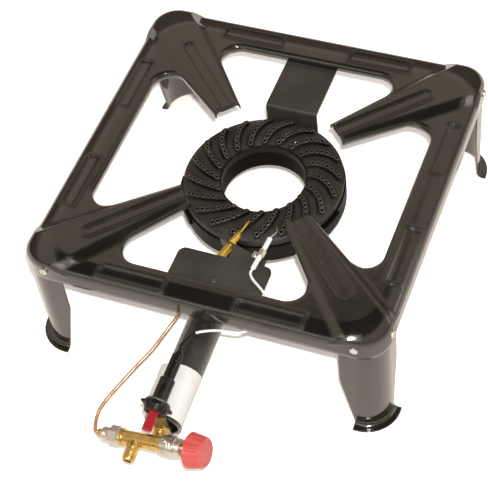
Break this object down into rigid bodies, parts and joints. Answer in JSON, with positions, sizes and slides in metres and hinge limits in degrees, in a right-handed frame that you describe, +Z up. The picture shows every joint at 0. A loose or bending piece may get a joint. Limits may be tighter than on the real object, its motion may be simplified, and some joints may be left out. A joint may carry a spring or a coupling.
{
  "type": "propane burner stand",
  "caption": "Low square outdoor cooking stand of pressed steel on sheet legs, with a cast iron ring burner, mixing tube, flame failure valve, thermocouple and push igniter.",
  "frame": {"origin": "on the ring burner's vertical axis, at the floor", "axes": "+X to the right of the valve's side, +Y from the valve toward the rear rail, +Z up"},
  "size_m": [0.4148, 0.5557, 0.148],
  "materials": {
    "black_enamel": "gloss",
    "cast_iron": "rough matt paint",
    "zinc_steel": "bright zinc",
    "brass": "cast and machined",
    "copper": "drawn copper",
    "white_ceramic": "glazed",
    "white_silicone": "satin",
    "black_plastic": "satin",
    "red_plastic": "gloss",
    "label_paper": "bare"
  },
  "bodies": {
    "stand": {"top_frame": "black_enamel", "leg_front_left": "black_enamel", "leg_front_right": "black_enamel", "leg_rear_left": "black_enamel", "leg_rear_right": "black_enamel", "rear_bracket": "black_enamel", "front_plate": "black_enamel", "sensor_bracket": "black_enamel", "bracket_rivets": "black_enamel", "burner_base": "cast_iron", "burner_cap": "cast_iron", "leg_screws": "zinc_steel", "leg_nuts": "zinc_steel", "plate_screw": "zinc_steel", "bracket_screws": "zinc_steel", "cap_screws": "zinc_steel", "electrode_wire": "zinc_steel", "electrode_clamp": "zinc_steel", "clamp_screw": "zinc_steel", "injector_bridge": "zinc_steel", "bridge_screws": "zinc_steel", "inlet_screen": "zinc_steel", "magnet_nut": "zinc_steel", "bonnet": "zinc_steel", "bonnet_screw": "zinc_steel", "return_spring": "zinc_steel", "igniter_spring": "zinc_steel", "igniter_piezo": "zinc_steel", "thermocouple": "brass", "thermocouple_nut": "brass", "lead_nut": "brass", "injector": "brass", "outlet_nut": "brass", "valve_body": "brass", "magnet_unit": "brass", "copper_lead": "copper", "electrode_ceramic": "white_ceramic", "ignition_cable": "white_silicone", "igniter_body": "black_plastic", "igniter_nut": "black_plastic", "igniter_cap": "black_plastic", "label_sleeve": "label_paper"},
    "valve_stem": {"push_rod": "zinc_steel"},
    "valve_knob": {"spindle": "brass", "knob": "red_plastic", "knob_screw": "zinc_steel", "knob_cap": "red_plastic"},
    "igniter_plunger": {"igniter_button": "red_plastic"}
  },
  "joints": [
    {"name": "knob_push", "type": "slide", "parent": "stand", "child": "valve_stem", "axis": [-0.9781, 0.0217, -0.2068], "range_m": [0, 0.003], "stiffness_N_per_m": 3000, "springref_m": -0.004, "deforming": ["return_spring"]},
    {"name": "knob_turn", "type": "hinge", "parent": "valve_stem", "child": "valve_knob", "pos_m": [0.04402, -0.3252, 0.08536], "axis": [0.9781, -0.0217, 0.2068], "range_deg": [0, 270]},
    {"name": "igniter_press", "type": "slide", "parent": "stand", "child": "igniter_plunger", "axis": [0, 0.9945, 0.1045], "range_m": [0, 0.006], "stiffness_N_per_m": 1500, "springref_m": -0.004, "deforming": ["igniter_spring"]}
  ]
}
